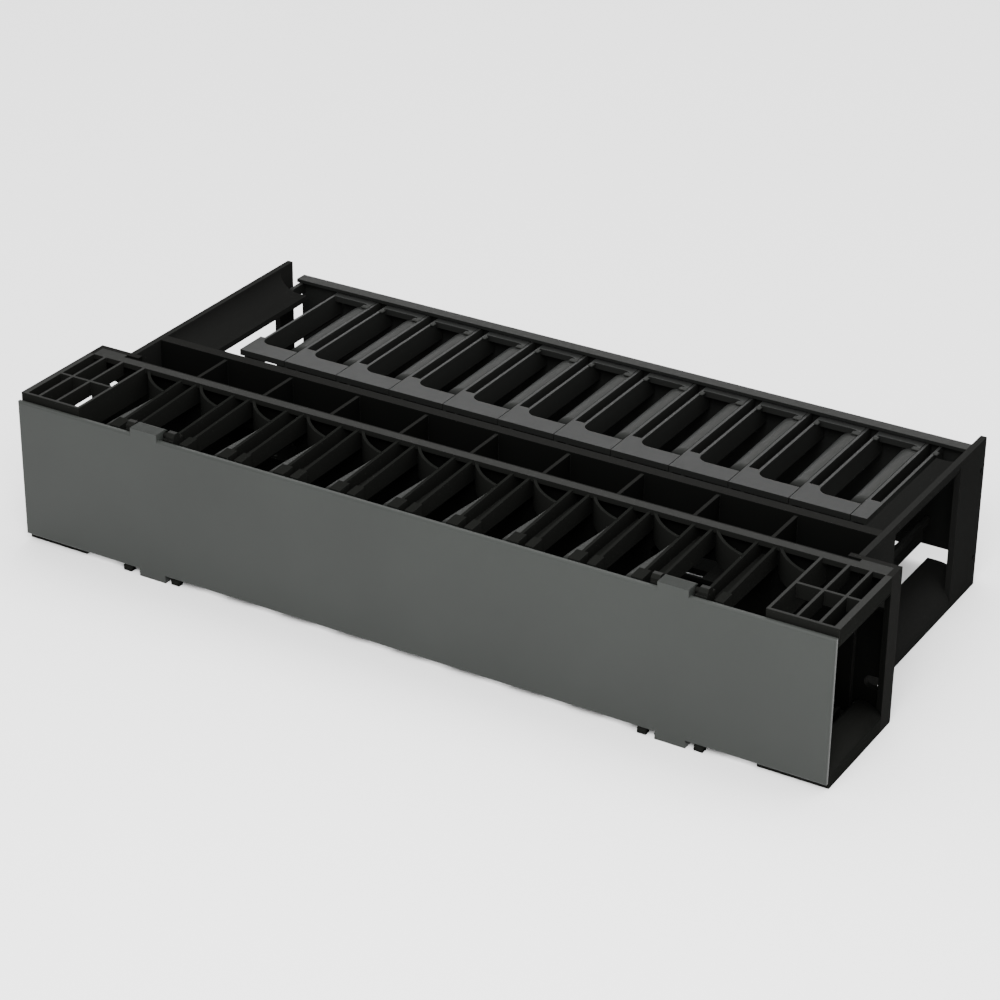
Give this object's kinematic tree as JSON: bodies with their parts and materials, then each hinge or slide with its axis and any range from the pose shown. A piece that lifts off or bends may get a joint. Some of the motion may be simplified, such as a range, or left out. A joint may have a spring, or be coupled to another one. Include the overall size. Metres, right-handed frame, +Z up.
{
  "type": "horizontal cable manager",
  "caption": "Two-unit rack cable manager with front and rear finger ducts, each closed by a plain cover that swings up.",
  "frame": {"origin": "centre of the rack slot pattern, on the rear face of the ears", "axes": "+X to the right seen from the front, +Y back into the rack, +Z up"},
  "size_m": [0.4826, 0.2381, 0.0882],
  "materials": {
    "black_plastic": "fine matt texture",
    "cover_plastic": "satin"
  },
  "bodies": {
    "base": {"spine": "black_plastic", "front_comb_upper": "black_plastic", "front_comb_lower": "black_plastic", "side_wing_left": "black_plastic", "side_wing_right": "black_plastic", "rear_finger_upper_01": "black_plastic", "rear_finger_upper_02": "black_plastic", "rear_finger_upper_03": "black_plastic", "rear_finger_upper_04": "black_plastic", "rear_finger_upper_05": "black_plastic", "rear_finger_upper_06": "black_plastic", "rear_finger_upper_07": "black_plastic", "rear_finger_upper_08": "black_plastic", "rear_finger_upper_09": "black_plastic", "rear_finger_upper_10": "black_plastic", "rear_finger_upper_11": "black_plastic", "rear_finger_upper_12": "black_plastic", "rear_finger_lower_01": "black_plastic", "rear_finger_lower_02": "black_plastic", "rear_finger_lower_03": "black_plastic", "rear_finger_lower_04": "black_plastic", "rear_finger_lower_05": "black_plastic", "rear_finger_lower_06": "black_plastic", "rear_finger_lower_07": "black_plastic", "rear_finger_lower_08": "black_plastic", "rear_finger_lower_09": "black_plastic", "rear_finger_lower_10": "black_plastic", "rear_finger_lower_11": "black_plastic", "rear_finger_lower_12": "black_plastic"},
    "front_cover": {"front_cover": "cover_plastic"},
    "rear_cover": {"rear_cover": "cover_plastic"}
  },
  "joints": [
    {"name": "front_cover_hinge", "type": "hinge", "parent": "base", "child": "front_cover", "pos_m": [0, -0.0676, 0.0411], "axis": [-1, 0, 0], "range_deg": [0, 105]},
    {"name": "rear_cover_hinge", "type": "hinge", "parent": "base", "child": "rear_cover", "pos_m": [0, 0.149, 0.026], "axis": [1, 0, 0], "range_deg": [0, 100]}
  ]
}
